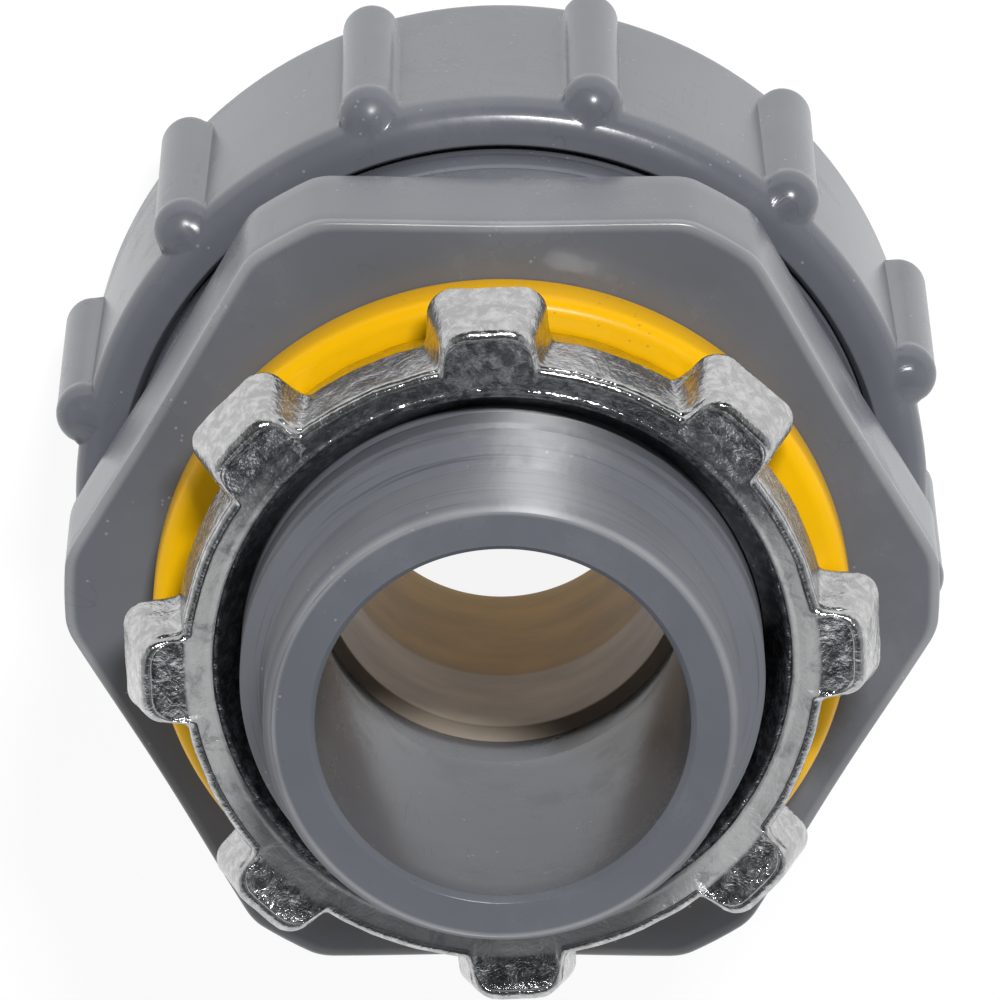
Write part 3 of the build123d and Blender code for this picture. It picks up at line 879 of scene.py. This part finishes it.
# The photograph's camera: 355 mm lens, 400 mm from the flange's front face, 22 degrees off the axis
CAMERA_AT = Vector((1.14, -152.42, 397.11)) * MM
CAMERA_AHEAD = Vector((-0.00262, 0.37061, -0.92878))
CAMERA_RIGHT = Vector((-1.0, -0.0019, 0.00206))
CAMERA_LENS, CAMERA_SENSOR, CAMERA_CLIP = 354.7, 36, 0.01

# The lamp stands behind the camera, above it and to its right
KEY_AT, KEY_AIM = (-0.09, -0.405, 0.5), (0, 0, 0.03)
KEY_WIDTH, KEY_DEPTH, KEY_POWER = 0.13, 0.055, 3.5

# The floor's reach in metres, its glow and the glow's share of its shader
FLOOR_REACH, FLOOR_GLOW, FLOOR_GLOW_SHARE = 2.5, 1.12, 0.8


def area_light(name, at, aim, width, depth, power):
    """Soft rectangular lamp at a place, turned to face a point."""
    lamp = bpy.data.lights.new(name, "AREA")
    lamp.shape = "RECTANGLE"
    lamp.size = width
    lamp.size_y = depth
    lamp.energy = power
    thing = bpy.data.objects.new(name, lamp)
    bpy.context.scene.collection.objects.link(thing)
    thing.location = at
    thing.rotation_euler = (Vector(aim) - Vector(at)).to_track_quat("-Z", "Y").to_euler()


class CONNECTOR_OT_stage(bpy.types.Operator):
    """Pale floor, soft lamp, graded surroundings and the camera"""
    bl_idname = "connector.stage"
    bl_label = "Stage"

    def floor(self):
        """Pale floor that glows softly, so that it stays white round the shadow."""
        far = FLOOR_REACH
        mesh = bpy.data.meshes.new("floor")
        corners = [(-far, -far, 0), (far, -far, 0), (far, far, 0), (-far, far, 0)]
        mesh.from_pydata(corners, [], [(0, 1, 2, 3)])
        floor = bpy.data.objects.new("floor", mesh)
        bpy.context.scene.collection.objects.link(floor)
        material, tree, shader = new_material("floor", 0.9)[:3]
        shader.inputs["Base Color"].default_value = (0.8, 0.8, 0.8, 1)
        inputs = {"Color": (1, 1, 1, 1), "Strength": FLOOR_GLOW}
        glow = node_of(tree, "ShaderNodeEmission", inputs).outputs[0]
        blend = node_of(tree, "ShaderNodeMixShader", {0: FLOOR_GLOW_SHARE, 1: shader.outputs[0], 2: glow})
        tree.links.new(blend.outputs[0], tree.nodes["Material Output"].inputs["Surface"])
        mesh.materials.append(material)

    def surroundings(self):
        """Dim room, bright low down at its far side and at both sides, dark overhead and near the camera."""
        world = bpy.data.worlds.new("studio")
        bpy.context.scene.world = world
        world.use_nodes = True
        tree = world.node_tree
        background = tree.nodes["Background"]
        direction = node_of(tree, "ShaderNodeTexCoord").outputs["Generated"]
        far_side = (0.0, 0.98, 0.2)
        toward = node_of(tree, "ShaderNodeVectorMath", {0: direction, 1: far_side}, operation="DOT_PRODUCT")
        far = ramp(tree, toward.outputs["Value"], 0.5, 0.92)
        axes = node_of(tree, "ShaderNodeSeparateXYZ", {0: direction}).outputs
        aside = ramp(tree, maths(tree, "ABSOLUTE", axes["X"]), 0.3, 0.9, 0.08, 0.55)
        aside = times(tree, aside, ramp(tree, axes["Y"], -0.7, -0.2, 0.35, 1.0))
        tree.links.new(plus(tree, far, aside), background.inputs["Strength"])
        background.inputs["Color"].default_value = (0.96, 0.98, 1.0, 1)

    def execute(self, context):
        scene = context.scene
        self.floor()
        self.surroundings()
        area_light("key", KEY_AT, KEY_AIM, KEY_WIDTH, KEY_DEPTH, KEY_POWER)
        lens = bpy.data.cameras.new("camera")
        lens.lens = CAMERA_LENS
        lens.sensor_width = CAMERA_SENSOR
        lens.sensor_fit = "HORIZONTAL"
        lens.clip_start = CAMERA_CLIP
        camera = bpy.data.objects.new("camera", lens)
        scene.collection.objects.link(camera)
        up = CAMERA_RIGHT.cross(CAMERA_AHEAD).normalized()
        axes = Matrix((CAMERA_RIGHT, up, -CAMERA_AHEAD)).transposed().to_4x4()
        camera.matrix_world = Matrix.Translation(CAMERA_AT) @ axes
        scene.camera = camera
        scene.view_settings.view_transform = "Standard"
        return {"FINISHED"}


PIECES = (CONNECTOR_OT_body, CONNECTOR_OT_gland_nut, CONNECTOR_OT_sealing_ring, CONNECTOR_OT_locknut,
          CONNECTOR_OT_ferrule, CONNECTOR_OT_compression_ring, CONNECTOR_OT_stage)


class CONNECTOR_PT_panel(bpy.types.Panel):
    """Sidebar panel with the pieces of the connector"""
    bl_idname = "CONNECTOR_PT_panel"
    bl_label = "Conduit connector"
    bl_space_type = "VIEW_3D"
    bl_region_type = "UI"
    bl_category = "Connector"

    def draw(self, context):
        for piece in PIECES:
            self.layout.operator(piece.bl_idname)


SETTINGS = {
    "connector_body": ConnectorBodySizes,
    "connector_nut": ConnectorNutSizes,
    "connector_locknut": ConnectorLocknutSizes,
    "connector_colours": ConnectorColours,
}


def register():
    for name, group in SETTINGS.items():
        bpy.utils.register_class(group)
        setattr(bpy.types.Scene, name, bpy.props.PointerProperty(type=group))
    for part in (*PIECES, CONNECTOR_PT_panel):
        bpy.utils.register_class(part)


def unregister():
    for part in (CONNECTOR_PT_panel, *reversed(PIECES)):
        bpy.utils.unregister_class(part)
    for name, group in SETTINGS.items():
        delattr(bpy.types.Scene, name)
        bpy.utils.unregister_class(group)


def main():
    register()
    bpy.ops.connector.body()
    bpy.ops.connector.gland_nut()
    bpy.ops.connector.sealing_ring()
    bpy.ops.connector.locknut()
    bpy.ops.connector.ferrule()
    bpy.ops.connector.compression_ring()
    bpy.ops.connector.stage()


if __name__ == "__main__":
    main()
